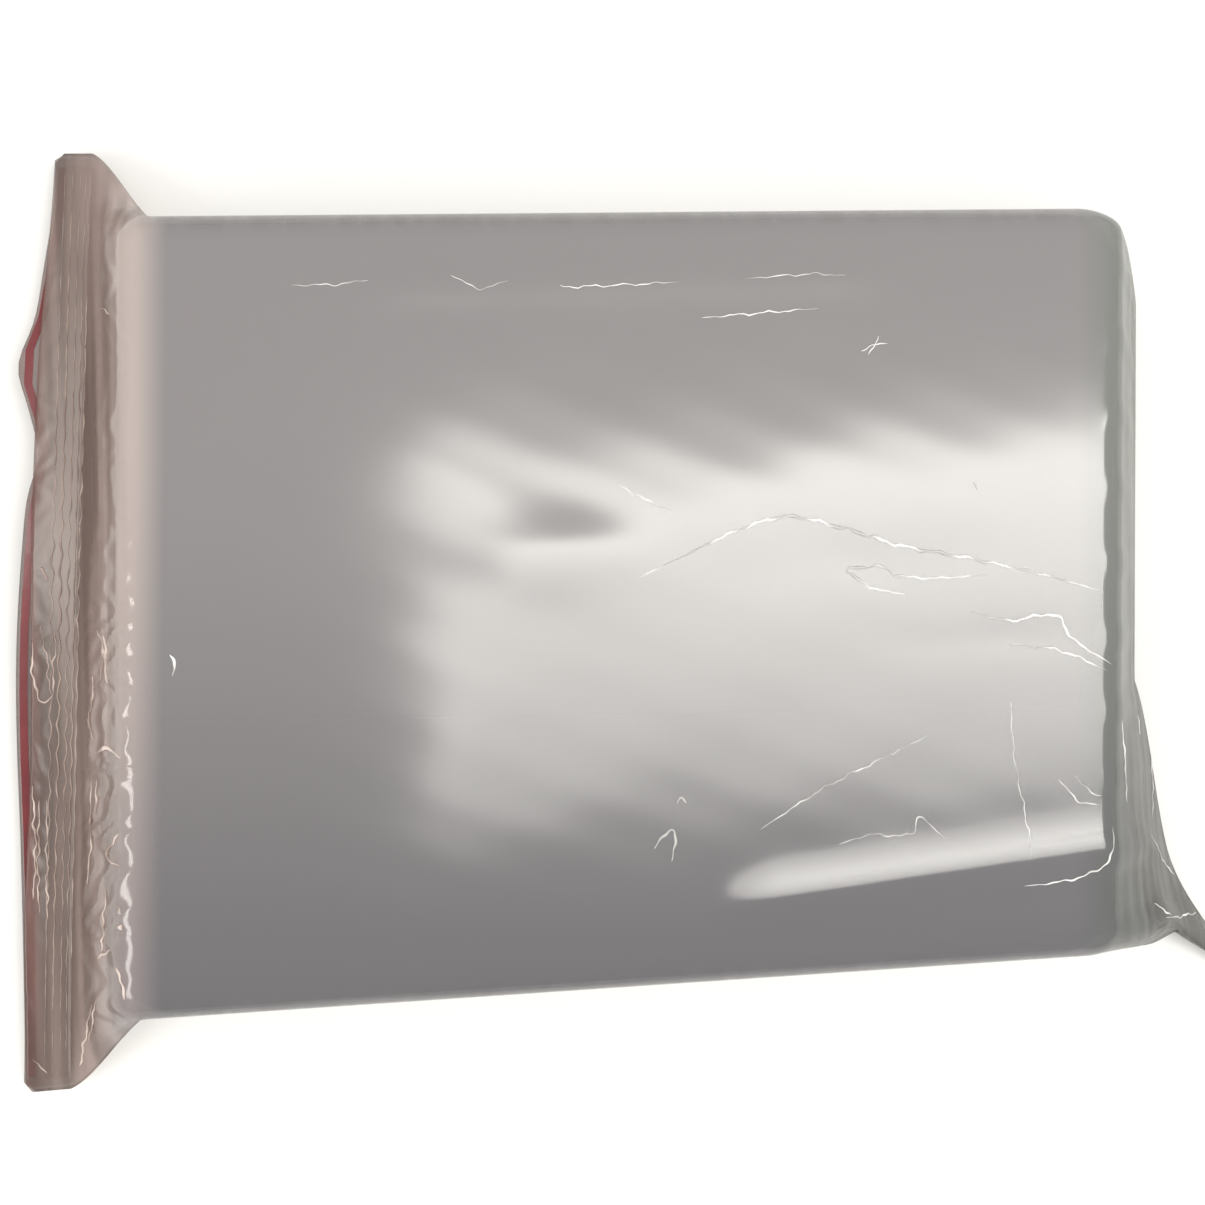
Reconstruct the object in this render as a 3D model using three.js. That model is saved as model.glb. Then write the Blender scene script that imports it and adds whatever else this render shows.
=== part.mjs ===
import * as THREE from 'three';
import { mergeVertices } from 'three/addons/utils/BufferGeometryUtils.js';

// Clear press-seal poly bag, lying flat and packed with a pressed stack of clear film bags.
// Millimetres. +X runs from the open lips to the closed end, +Y goes across the bag and +Z is up.
// The table is z = 0, and the origin is on it, below the middle of the stack.

// Stack of flat film bags
const stackLength = 267;
const stackWidth = 203;
const stackHeight = 38;
const stackSkew = 0.044; // how far the pack leans out of square, in mm along for each mm across
const stackCorner = 17; // rounding of the four corners, seen from above
const stackEdge = 8; // rounding of the top and bottom edges
const stackCrown = 1.6; // how far the middle of the top stands above its edge
const stackSlump = 0.5; // depth of the soft hollows in its top
const courseCount = 8; // bundles that show along the edge of the stack
const courseShift = 0.45; // most that a bundle lies in or out of line
const courseGroove = 0.4; // depth of the line between two bundles

// Film pouch
const filmGauge = 0.12; // one wall of film
const filmGap = 0.7; // between the film and the stack, over the top and at the sides
const restGap = 0.45; // between the film and the stack that lies on it
const girthEase = 16; // lay-flat width left over once the film is round the stack
const slackRise = 1.2; // height of the long soft folds in the slack film over the top
const slackSpread = 6; // half-width of those folds
const slackFolds = [ // their two ends, as shares of half the stack's length and width, and their rise
  { from: [0.15, -0.75], to: [1.1, -0.64], rise: 1 },
  { from: [-0.64, 0.81], to: [0.54, 0.83], rise: 0.4 },
];
const seamBead = 0.6; // how far the melted side seam stands out
const sidePleat = 0.6; // depth of the soft pleats along the sides
const sidePitch = 47; // from one of those pleats to the next

// Mouth: the two lips, the press-to-close strips and the film that runs in to the stack
const zipReach = 17.3; // from the end of the stack to the middle of the zip
const zipSkew = 0.059; // how far the mouth is out of square, in mm along for each mm across
const zipHeight = 8; // height of the zip above the table, at mid-width
const zipDroop = 3.5; // how much lower its two ends hang
const lipHeight = 10; // from the middle of the zip to the edge of the lips
const lipTaper = 1.7; // how much less of the lips shows at their ends, where they curl, the +Y end most
const lipSetback = 1.2; // how far the front lip's edge lies behind the back one's
const lipCorner = 2.5; // rounding of the lips' corners
const lipPart = 1.1; // half the gap between the lips at their edge
const lipWave = 1.2; // height of the waves along the lips
const lipPitch = 94; // from one of those waves to the next
const lipSwells = [ // swells and dips of the back lip, as shares of the lips' height and half the mouth
  { reach: 0.38, place: 0.54, spread: 0.075 },
  { reach: 0.27, place: -0.12, spread: 0.36 },
  { reach: -0.24, place: 0.35, spread: 0.064 },
  { reach: -0.12, place: 0.9, spread: 0.15 },
];
const flarePleat = 1.1; // depth of the fan pleats between the zip and the stack
const flarePitch = 41; // from one of those pleats to the next
const seamWeld = 3; // length over which the side seam pinches the mouth shut

// Press-to-close strips: a rib on the back film and a channel on the front film
const zipFlange = 6.4; // width of each strip
const zipBase = 0.3; // thickness of each strip's flange
const zipThroat = 1.4; // between the two flanges
const zipSeat = 0.3; // between a strip, or the red line, and its film
const zipEnd = 0.6; // between the end of a strip and the welded side
const stemWidth = 0.5;
const headWidth = 1.16;
const headHeight = 0.55;
const jawWidth = 2.5; // outside width of the channel
const jawWall = 0.5;
const hookReach = 0.33; // how far each hook of the channel turns in under the rib's head
const zipPlay = 0.16; // between the rib's head and the channel, all round

// Red line on the back lip
const lineWidth = 2.1;
const lineInset = 0.9; // from the edge of the lip
const lineThickness = 0.1;

// Closed end: the fold is tucked down the end of the stack, and one corner sticks out as an ear
const tuckReach = 14; // from the end of the stack to the fold
const tuckHeight = 13; // height of the fold above the table
const tuckCorner = 24; // rounding of the tucked corner, seen from above
const tuckTurn = 0.986; // share of that rounding that the fold follows
const tuckDraw = 5; // how far the film on the side is drawn in towards that corner
const tuckPleat = 0.9; // depth of the pleats down the closed end
const earStart = 0.28; // where across the bag the ear begins, as a share of the half-width
const earReach = 45; // how far the ear's tip stands out beyond the tucked fold
const earSpread = 18; // how far the ear's tip stands out sideways past the stack
const earHeight = 2.5; // height of the ear's tip above the table
const earNotch = 6.5; // how far the side seam is drawn in before the ear
const earNotchPlace = 0.58; // where it is drawn in most, as a share of the way out to the ear's tip
const earNotchSpread = 0.13; // how far along that way the notch reaches
const earFold = 2; // height of the crease along the ear
const earPleat = 1.8; // depth of the folds that run from the stack's corner to the ear

// Sizes that follow from the ones above
const stackFloor = filmGauge + restGap;
const filmBend = stackEdge + filmGap + filmGauge; // the film goes round the stack's rounded edge
const bodyHalf = stackWidth / 2 + filmGap + filmGauge;
const bodyHeight = stackFloor + stackHeight + filmGap + filmGauge;
const wallFlat = bodyHeight / 2 - filmBend; // seam to the start of the bend
const bendArc = (Math.PI / 2) * filmBend;
const halfGirth = 2 * (wallFlat + bendArc + bodyHalf - filmBend);
const mouthHalf = (halfGirth + girthEase) / 2;
const zipX = -(stackLength / 2 + zipReach);
const bodyEnd = stackLength / 2 - stackEdge; // where the level film starts to go round the stack's edge
const bodyStart = -bodyEnd;
const zipFaceGap = zipThroat / 2 + zipBase + zipSeat + filmGauge; // zip's middle to the film's outer face
const zipHalf = mouthHalf - seamWeld - zipEnd;
const weldStep = Math.min((seamWeld * halfGirth) / (2 * mouthHalf), wallFlat / 2); // the weld, along the body's girth

const clamp01 = (value) => Math.min(1, Math.max(0, value));
const wave = (place, pitch, shift = 0) => Math.sin((2 * Math.PI * place) / pitch + shift);
const bell = (place, spread) => Math.exp(-((place / spread) ** 2));
const ease = (value) => {
  const t = clamp01(value);
  return t * t * (3 - 2 * t);
};
const lerp = (from, to, share) => from + (to - from) * share;

// A repeatable number from -1 to 1 for each whole number
const scatter = (index) => {
  const raw = Math.sin(index * 12.9898 + 4.1) * 43758.5453;
  return 2 * (raw - Math.floor(raw)) - 1;
};

// Closed mesh from rows of points: each row is a ring of the same count, joined to the next one
function skin(rings, faces, points) {
  const starts = rings.map((ring) => points.push(...ring) - ring.length);
  for (let row = 0; row + 1 < rings.length; row += 1) {
    const count = rings[row].length;
    for (let i = 0; i < count; i += 1) {
      const next = (i + 1) % count;
      const [a, b] = [starts[row] + i, starts[row] + next];
      const [c, d] = [starts[row + 1] + i, starts[row + 1] + next];
      faces.push(a, c, b, b, c, d);
    }
  }
}

function solid(points, faces, name, material) {
  const raw = new THREE.BufferGeometry();
  raw.setAttribute('position', new THREE.Float32BufferAttribute(points.flatMap((p) => p.toArray()), 3));
  raw.setIndex(faces);
  const merged = mergeVertices(raw, 1e-4);
  const kept = [];
  const index = merged.index.array;
  for (let i = 0; i < index.length; i += 3) {
    const [a, b, c] = [index[i], index[i + 1], index[i + 2]];
    if (a !== b && b !== c && c !== a) kept.push(a, b, c);
  }
  merged.setIndex(kept);
  merged.computeVertexNormals();
  const mesh = new THREE.Mesh(merged, material);
  mesh.name = name;
  return mesh;
}

// Middle line of the mouth. "out" points along the lips, away from the stack, and "up" across the zip.
function mouthFrame(y) {
  const across = y / mouthHalf;
  const sway = 0.5 * wave(y, 2 * lipPitch) + 0.35 * wave(y, lipPitch, 1);
  const tilt = 0.1 + 0.12 * wave(y, 2.5 * lipPitch, 0.6);
  return {
    at: new THREE.Vector3(zipX + zipSkew * y, y, zipHeight - zipDroop * across * across + sway),
    out: new THREE.Vector3(-Math.cos(tilt), 0, Math.sin(tilt)),
    up: new THREE.Vector3(Math.sin(tilt), 0, Math.cos(tilt)),
  };
}

function mouthPoint(y, outward, upward) {
  const frame = mouthFrame(y);
  return frame.at.addScaledVector(frame.out, outward).addScaledVector(frame.up, upward);
}

// Soft rise of the top of the stack, which the film over it follows
function topSwell(x, y) {
  const alongShare = clamp01(1 - (2 * x / stackLength) ** 2);
  const acrossShare = clamp01(1 - (2 * y / stackWidth) ** 2);
  const slump = stackSlump * wave(x, stackWidth, 1) * Math.cos((5 * Math.PI * y) / (2 * stackWidth));
  return (stackCrown + slump) * Math.sqrt(alongShare * acrossShare);
}

// The slack film over the top lies in long soft folds that fade out at their ends
function slackFold(x, y) {
  return slackFolds.reduce((sum, { from, to, rise }) => {
    const [startX, endX] = [from[0], to[0]].map((share) => (share * stackLength) / 2);
    const [startY, endY] = [from[1], to[1]].map((share) => (share * stackWidth) / 2);
    const along = clamp01((x - startX) / (endX - startX));
    const faded = Math.min(1, 2.5 * Math.sin(Math.PI * along));
    return sum + slackRise * rise * faded * bell(y - lerp(startY, endY, along), slackSpread);
  }, 0);
}

// Steps along the film from the +Y seam, over the panel, to the -Y seam: close at the bends, wide between
function panelSteps() {
  const bendSteps = 5;
  const flatSteps = 22;
  const side = [0, weldStep];
  for (let i = 0; i <= bendSteps; i += 1) side.push(wallFlat + (bendArc * i) / bendSteps);
  const edge = wallFlat + bendArc;
  const middle = [];
  for (let i = 1; i < flatSteps; i += 1) middle.push(lerp(edge, halfGirth - edge, i / flatSteps));
  return [...side, ...middle, ...side.map((s) => halfGirth - s).reverse()];
}

// Section of the pouch round the stack, at "s" along the film: place across, and rise above the seam
function bodySection(s) {
  const mirrored = s > halfGirth / 2;
  const run = mirrored ? halfGirth - s : s;
  const sign = mirrored ? -1 : 1;
  if (run <= wallFlat) return { across: sign * bodyHalf, rise: run };
  if (run <= wallFlat + bendArc) {
    const turn = (run - wallFlat) / filmBend;
    return {
      across: sign * (bodyHalf - filmBend * (1 - Math.cos(turn))),
      rise: wallFlat + filmBend * Math.sin(turn),
    };
  }
  return { across: sign * (bodyHalf - filmBend - (run - wallFlat - bendArc)), rise: bodyHeight / 2 };
}

// The same spot of film where the pouch is still flat, at the mouth
const flatAcross = (s) => mouthHalf * (1 - (2 * s) / halfGirth);

// How far the film stands from the zip's middle plane, "outward" mm from the zip towards the lips' edge
function mouthGap(y, outward, panel) {
  const weld = ease((mouthHalf - Math.abs(y)) / seamWeld);
  const pastZip = clamp01((outward - zipFlange / 2) / (lipHeight - zipFlange / 2));
  const parted = lerp(zipFaceGap, filmGauge + lipPart, ease(pastZip));
  const puff = lipWave * Math.max(0, panel > 0 ? wave(y, lipPitch, 0.4) : wave(y, 1.27 * lipPitch, 2));
  return panel * lerp(filmGauge + 0.1, parted + pastZip * puff, weld);
}

// Edge of a lip: it curls at its ends, and the back lip swells out past the front one in two places
function lipEdge(y, panel) {
  const fromEnd = clamp01((mouthHalf - Math.abs(y)) / lipCorner);
  const rounded = lipCorner * (1 - Math.sqrt(1 - (1 - fromEnd) ** 2));
  const curled = lipTaper * (1 + (0.5 * y) / mouthHalf) * ease((Math.abs(y) / mouthHalf - 0.5) * 2);
  const edge = lipHeight - curled - rounded;
  if (panel > 0) return edge - lipSetback + 0.4 * wave(y, 1.4 * lipPitch);
  return lipSwells.reduce((sum, { reach, place, spread }) => (
    sum + lipHeight * reach * bell(y / mouthHalf - place, spread)
  ), edge);
}

const mouthStation = (share) => (s, panel) => {
  const y = flatAcross(s);
  const outward = lerp(-zipFlange / 2, lipEdge(y, panel), share);
  const pinched = s === 0 || s === halfGirth;
  return mouthPoint(y, outward, pinched ? 0 : mouthGap(y, outward, panel));
};

// Side seam and pleats, on the body's section
function bodyPoint(x, s, panel) {
  const { across, rise } = bodySection(s);
  const atSeam = Math.max(0, 1 - Math.min(s, halfGirth - s) / wallFlat);
  const pleat = sidePleat * wave(x, sidePitch, Math.sign(across)) * Math.sin(Math.PI * clamp01(1.4 - atSeam));
  const spread = Math.min(s, halfGirth - s) < wallFlat + bendArc / 2 ? Math.max(0, pleat) : 0;
  const bead = seamBead * (atSeam > 0.9 ? 1 : 0);
  const swell = panel > 0 && rise > wallFlat ? topSwell(x, across) + slackFold(x, across) : 0;
  const y = across + Math.sign(across) * (bead + spread);
  const nearCorner = clamp01(1 - (bodyEnd - x) / tuckCorner) * clamp01(1 - (1.5 * (bodyHalf - across)) / filmBend);
  const drawnIn = stackSkew * across - tuckDraw * nearCorner ** 2;
  return new THREE.Vector3(x + drawnIn, y, bodyHeight / 2 + panel * rise + swell);
}

const bodyStation = (x) => (s, panel) => bodyPoint(x, s, panel);

// Film drawn from the level panel round the stack's edge, then straight on to a point beyond its end:
// how far out and how far down it is after a share of the way. The bend is 0 on the upright side walls.
function drawnOver(out, down, bend, share) {
  if (bend === 0) return { out: out * share, down: down * share };
  const far = Math.hypot(out, down - bend);
  const turn = Math.max(0, Math.atan2(out, bend - down) - Math.acos(Math.min(1, bend / far)));
  const round = bend * turn;
  const travelled = share * (round + Math.sqrt(Math.max(0, far * far - bend * bend)));
  const angle = Math.min(turn, travelled / bend);
  const straight = Math.max(0, travelled - round);
  return {
    out: bend * Math.sin(angle) + straight * Math.cos(turn),
    down: bend * (1 - Math.cos(angle)) + straight * Math.sin(turn),
  };
}

// Film at a share of the way from the end of the level panel to a target point
function drawnTo(near, target, s, panel, share) {
  if (share === 1) return target;
  const { rise } = bodySection(s);
  const bend = filmBend * clamp01((rise - wallFlat) / filmBend);
  const outSign = Math.sign(target.x - near.x);
  const { out, down } = drawnOver(Math.abs(target.x - near.x), panel * (near.z - target.z), bend, share);
  return { x: near.x + outSign * out, z: near.z - panel * down };
}

// From the stack to the zip: flattens, widens, and gathers in fan pleats
const flareStation = (share) => (s, panel) => {
  const near = bodyPoint(bodyStart, s, panel);
  const target = mouthStation(0)(s, panel);
  const { x, z } = drawnTo(near, target, s, panel, share);
  const fan = wave(target.y, flarePitch) * Math.sin(Math.PI * share) * share;
  const pleat = flarePleat * fan * (0.4 + Math.abs(target.y) / mouthHalf);
  const widened = (share + ease(share)) / 2;
  return new THREE.Vector3(x, lerp(near.y, target.y, widened), z + (panel > 0 ? pleat : 0));
};

// How far into the ear a place across the bag is: 0 at its start, 1 at its tip
const earShare = (across) => clamp01((-earStart - across) / (1 - earStart));

// The fold that closes the bag, from the tucked corner at 1 to the tip of the ear at -1
function endFold(across) {
  const ear = earShare(across);
  const y = across * bodyHalf;
  const turned = Math.min(tuckTurn * tuckCorner, Math.max(0, y - bodyHalf + tuckCorner));
  const drawnBack = tuckCorner - Math.sqrt(tuckCorner ** 2 - turned ** 2);
  const drawnOut = earReach * lerp(ear ** 4, ear, 0.64);
  return new THREE.Vector3(
    stackLength / 2 + tuckReach + stackSkew * y + drawnOut - drawnBack,
    y - earSpread * ease(2 * ear),
    lerp(tuckHeight, earHeight, ease(1.6 * ear)),
  );
}

// Over the end of the stack and down to the fold: pleated where it is tucked, drawn out to a tent at the ear
const endStation = (share) => (s, panel) => {
  const near = bodyPoint(bodyEnd, s, panel);
  const across = 1 - (2 * s) / halfGirth;
  const fold = endFold(across);
  const ear = earShare(across);
  const { x, z } = drawnTo(near, fold, s, panel, share);
  const hump = Math.sin(Math.PI * share);
  const notch = earNotch * ear * ear * bell(share - earNotchPlace, earNotchSpread) * Math.sqrt(hump);
  const pleats = (tuckPleat * wave(across, 0.17) * (1 - ear) + earPleat * wave(across, 0.21, 1) * ear) * hump;
  const crease = earFold * bell(across + 0.88, 0.06) * hump * share;
  return new THREE.Vector3(
    x,
    lerp(near.y, fold.y, share ** lerp(3, 2, ear)) + notch,
    z + (panel > 0 && s > 0 && s < halfGirth ? Math.max(0, pleats) + crease : 0),
  );
};

// One ring of film: over the front panel and back under the rear panel
function filmRing(station, steps) {
  const front = steps.map((s) => station(s, 1));
  const rear = steps.slice(1, -1).reverse().map((s) => station(s, -1));
  return [...front, ...rear];
}

// Outward direction at each point of a grid of rings, from its neighbours
function ringNormals(rings) {
  return rings.map((ring, row) => ring.map((point, i) => {
    const before = rings[Math.max(0, row - 1)][i];
    const after = rings[Math.min(rings.length - 1, row + 1)][i];
    const left = ring[(i + ring.length - 1) % ring.length];
    const right = ring[(i + 1) % ring.length];
    const along = new THREE.Vector3().subVectors(after, before);
    const round = new THREE.Vector3().subVectors(left, right);
    return along.cross(round).normalize();
  }));
}

function makePouch(material) {
  const steps = panelSteps();
  const mouthShares = [1, 0.8, 0.6, 0.3, 0];
  const flareShares = [0.84, 0.66, 0.48, 0.3, 0.2, 0.1];
  const bodySpans = 14;
  const endShares = [0.09, 0.18, 0.27, 0.42, 0.58, 0.74, 0.88, 1];
  const stations = [
    ...mouthShares.map(mouthStation),
    ...flareShares.map(flareStation),
    ...Array.from({ length: bodySpans + 1 }, (_, i) => bodyStation(lerp(bodyStart, bodyEnd, i / bodySpans))),
    ...endShares.map(endStation),
  ];
  const outer = stations.map((station) => filmRing(station, steps));
  const normals = ringNormals(outer);
  const inner = outer.map((ring, row) => ring.map((point, i) => (
    point.clone().addScaledVector(normals[row][i], -filmGauge)
  )));
  // The wall's inner face stops one gauge short of the closing fold
  const last = inner.length - 1;
  inner[last] = outer[last].map((point) => new THREE.Vector3(point.x - filmGauge, point.y, point.z));
  const points = [];
  const faces = [];
  skin([...outer.reverse(), ...inner], faces, points);
  return solid(points, faces, 'pouch_film', material);
}

// Sweeps a closed section of [outward, upward] points along the mouth, with a flat cap at each end
function sweepMouth(section, half, name, material, placed = (y, point) => point) {
  const steps = panelSteps().map(flatAcross).filter((y) => Math.abs(y) < half - 1);
  const along = [half, ...steps, -half];
  const rings = along.map((y) => section.map((point) => mouthPoint(y, ...placed(y, point))));
  const points = [];
  const faces = [];
  skin(rings, faces, points);
  const flat = section.map(([outward, upward]) => new THREE.Vector2(outward, upward));
  const last = (rings.length - 1) * section.length;
  THREE.ShapeUtils.triangulateShape(flat, []).forEach(([a, b, c]) => {
    faces.push(a, b, c);
    faces.push(last + a, last + c, last + b);
  });
  return solid(points, faces, name, material);
}

// Arrow-headed rib on its flange, in section
function ribSection() {
  const floor = -zipThroat / 2;
  const neck = floor + zipThroat - zipPlay - headHeight;
  return [
    [-zipFlange / 2, floor - zipBase], [zipFlange / 2, floor - zipBase], [zipFlange / 2, floor],
    [stemWidth / 2, floor], [stemWidth / 2, neck], [headWidth / 2, neck],
    [stemWidth / 2, neck + headHeight], [-stemWidth / 2, neck + headHeight],
    [-headWidth / 2, neck], [-stemWidth / 2, neck], [-stemWidth / 2, floor], [-zipFlange / 2, floor],
  ];
}

// Channel with two hooks that close under the rib's head, in section
function channelSection() {
  const roof = zipThroat / 2;
  const neck = roof - zipPlay - headHeight;
  const hookTop = neck - zipPlay;
  const hookFoot = -zipThroat / 2 + zipPlay;
  const inside = jawWidth / 2 - jawWall;
  const mouth = inside - hookReach;
  return [
    [zipFlange / 2, roof + zipBase], [-zipFlange / 2, roof + zipBase], [-zipFlange / 2, roof],
    [-jawWidth / 2, roof], [-jawWidth / 2, hookFoot], [-mouth, hookFoot], [-mouth, hookTop],
    [-inside, hookTop], [-inside, roof], [inside, roof], [inside, hookTop], [mouth, hookTop],
    [mouth, hookFoot], [jawWidth / 2, hookFoot], [jawWidth / 2, roof], [zipFlange / 2, roof],
  ];
}

// The red line lies on the inner face of the back lip and follows its edge
function makeLipLine(material) {
  const low = zipSeat;
  const section = [[0, low], [lineWidth, low], [lineWidth, low + lineThickness], [0, low + lineThickness]];
  const placed = (y, [outward, upward]) => {
    const edge = lipEdge(y, -1) - lineInset - lineWidth + outward;
    return [edge, mouthGap(y, edge, -1) + filmGauge + upward];
  };
  return sweepMouth(section, zipHalf, 'lip_line', material, placed);
}

// Rounded rectangle of the stack seen from above, going round from +X
function stackOutline() {
  const cornerSteps = 5;
  const sideSteps = [6, 5];
  const halves = [stackLength / 2 - stackCorner, stackWidth / 2 - stackCorner];
  const outline = [];
  for (let quarter = 0; quarter < 4; quarter += 1) {
    const [signX, signY] = [[1, 1], [-1, 1], [-1, -1], [1, -1]][quarter];
    const centre = new THREE.Vector2(signX * halves[0], signY * halves[1]);
    for (let i = 0; i <= cornerSteps; i += 1) {
      const turn = (Math.PI / 2) * (quarter + i / cornerSteps);
      const facing = new THREE.Vector2(Math.cos(turn), Math.sin(turn));
      outline.push({ at: centre.clone().addScaledVector(facing, stackCorner), facing });
    }
    const along = quarter % 2;
    const count = sideSteps[along];
    const facing = [new THREE.Vector2(0, 1), new THREE.Vector2(-1, 0),
      new THREE.Vector2(0, -1), new THREE.Vector2(1, 0)][quarter];
    for (let i = 1; i < count; i += 1) {
      const slide = 1 - (2 * i) / count;
      const at = along
        ? new THREE.Vector2(signX * (stackLength / 2), signY * slide * halves[1])
        : new THREE.Vector2(signX * slide * halves[0], signY * (stackWidth / 2));
      outline.push({ at, facing });
    }
  }
  return outline;
}

// How far the stack's side is drawn in at a height above its underside
function edgeInset(height) {
  const fromFace = Math.min(height, stackHeight - height);
  if (fromFace >= stackEdge) return 0;
  const reach = stackEdge - fromFace;
  return stackEdge - Math.sqrt(stackEdge * stackEdge - reach * reach);
}

// Bundles of bags one on another: each lies a little in or out of line, with a groove between
function makeStack(material) {
  const outline = stackOutline();
  const thick = stackHeight / courseCount;
  const ringAt = (inset, height, lift) => outline.map(({ at, facing }, i) => {
    const ripple = 0.25 * Math.sin(i * 1.7 + height);
    const place = at.clone().addScaledVector(facing, -(inset + ripple + 0.25));
    const z = stackFloor + height + lift(place.x, place.y);
    return new THREE.Vector3(place.x + stackSkew * place.y, place.y, z);
  });
  const flatLift = () => 0;
  const courses = [];
  for (let k = 0; k < courseCount; k += 1) {
    const shift = courseShift * 0.5 * (1 + scatter(k));
    [0.15, 0.85].forEach((share) => {
      const height = thick * (k + share);
      courses.push(ringAt(edgeInset(height) + shift, height, flatLift));
    });
    if (k + 1 < courseCount) {
      const seamHeight = thick * (k + 1);
      courses.push(ringAt(edgeInset(seamHeight) + courseGroove + courseShift / 2, seamHeight, flatLift));
    }
  }
  const capRing = (shrink, height, lift) => ringAt(stackEdge, height, flatLift).map((point) => {
    const [x, y] = [point.x * shrink, point.y * shrink];
    return new THREE.Vector3(x, y, stackFloor + height + lift(x - stackSkew * y, y));
  });
  const underside = [0, 1].map((share) => capRing(share, 0, flatLift));
  const top = [1, 0.93, 0.78, 0.55, 0.3, 0].map((share) => capRing(share, stackHeight, topSwell));
  const points = [];
  const faces = [];
  skin([...underside, ...courses, ...top].reverse(), faces, points);
  return solid(points, faces, 'bag_stack', material);
}

const clearFilm = new THREE.MeshStandardMaterial({
  color: '#c9c6c4', roughness: 0.18, metalness: 0, transparent: true, opacity: 0.35, side: THREE.DoubleSide,
});
const zipFilm = new THREE.MeshStandardMaterial({
  color: '#cfc7c2', roughness: 0.3, metalness: 0, transparent: true, opacity: 0.6,
});
const redLine = new THREE.MeshStandardMaterial({ color: '#a3232e', roughness: 0.3, metalness: 0 });
const pressedFilm = new THREE.MeshStandardMaterial({ color: '#b9b6b8', roughness: 0.35, metalness: 0 });

const bag = new THREE.Group();
bag.add(makePouch(clearFilm));
bag.add(sweepMouth(ribSection(), zipHalf, 'zip_rib', zipFilm));
bag.add(sweepMouth(channelSection(), zipHalf, 'zip_channel', zipFilm));
bag.add(makeLipLine(redLine));
bag.add(makeStack(pressedFilm));

export default bag;
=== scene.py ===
"""Clear press-seal poly bag, lying flat and packed with a pressed stack of clear film bags.

Sizes in the sections are real millimetres. +X runs from the open lips to the closed end, +Y goes
across the bag and +Z is up. The table is z = 0.
"""

import bpy
import numpy as np
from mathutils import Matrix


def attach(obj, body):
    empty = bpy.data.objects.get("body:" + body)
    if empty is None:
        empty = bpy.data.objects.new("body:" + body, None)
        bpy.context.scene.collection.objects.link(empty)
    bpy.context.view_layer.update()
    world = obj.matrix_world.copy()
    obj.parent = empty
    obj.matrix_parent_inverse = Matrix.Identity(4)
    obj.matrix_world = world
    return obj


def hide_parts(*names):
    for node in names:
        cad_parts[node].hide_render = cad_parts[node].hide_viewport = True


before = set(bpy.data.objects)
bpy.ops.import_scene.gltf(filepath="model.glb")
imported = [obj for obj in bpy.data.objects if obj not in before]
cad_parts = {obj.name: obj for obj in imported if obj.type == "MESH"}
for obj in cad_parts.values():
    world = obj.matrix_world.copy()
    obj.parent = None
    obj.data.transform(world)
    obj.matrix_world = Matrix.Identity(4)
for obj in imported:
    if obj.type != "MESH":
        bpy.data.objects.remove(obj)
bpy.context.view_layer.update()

# Camera
# The photograph was taken by hand from above, a little to the left of the pack's middle and nearly
# level with it, from less than half a metre. Another program fitted the camera's place, turn and lens
# to the outline of the pack and the corners of the stack in the photograph.

MM = 0.001
CAMERA_PLACE = (-59.96, -0.41, 450.0)
CAMERA_TURN = (0.0041489, -0.1212476, -0.0382646)  # radians about x, y and z
CAMERA_LENS = 47.73  # on a 36 mm wide sensor

camera_data = bpy.data.cameras.new("photo_camera")
camera_data.lens = CAMERA_LENS
camera_data.sensor_width = 36.0
camera_data.clip_start = 0.01
camera = bpy.data.objects.new("photo_camera", camera_data)
camera.location = [MM * value for value in CAMERA_PLACE]
camera.rotation_euler = CAMERA_TURN
bpy.context.collection.objects.link(camera)
bpy.context.scene.camera = camera

# Pressed stack
# About 200 flat clear bags of 203 by 267 mm, pressed together in a block. Each lies a little in or
# out of line with the next, so the sides show fine layers, and the pile settles in a soft crown.

STACK_LENGTH = 267.0
STACK_WIDTH = 203.0
STACK_HEIGHT = 38.0
STACK_SKEW = 0.044  # mm along for each mm across
STACK_CORNER = 17.0
STACK_EDGE = 8.0
STACK_CROWN = 1.6
STACK_SLUMP = 0.15
FILM_GAUGE = 0.12
REST_GAP = 0.45
STACK_FLOOR = FILM_GAUGE + REST_GAP
LAYER_PITCH = 0.65  # the real 0.19 mm is too fine to show, so a few bags are drawn as one layer
LAYER_SHIFT = 0.22  # most that a layer lies out of line
LAYER_NOTCH = 0.12  # depth of the line between two layers
LAYER_RIPPLE = 0.2
LAYER_TURN = 0.11  # turn of the ripple's phase for each step round the stack
LAYER_LEAN = 0.4  # turn of the ripple's phase for each mm up
SIDE_EASE = 0.3
OUTLINE_STEPS = 420
CAP_RINGS = 56
CAP_START = 0.985  # outermost ring of the crown, as a share of the stack's outline
PRESSED_CLOUD = (71.4, 71.4, 71.4)
PRESSED_TONES = ((0.35, "#96919a"), (0.68, "#b0aaac"))
LAYER_CLOUD = (167.0, 167.0, 1.11)
LAYER_TONES = ((0.4, "#9a9a9d"), (0.56, "#ffffff"))
LAYERS_FADE = (33.0, 37.5)  # heights between which the layers' lines fade out
# Painted shade across the bag: the stack and the film over it are darkened towards -Y.
PAINTED_SHADE_ACROSS = (-125.0, 50.0)
PAINTED_SHADE_TONES = ((0.0, "#bcbcc2"), (1.0, "#ffffff"))


def wave(place, pitch, shift=0.0):
    """Sine wave of a length that repeats every "pitch" mm."""
    return np.sin(2 * np.pi * place / pitch + shift)


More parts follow.
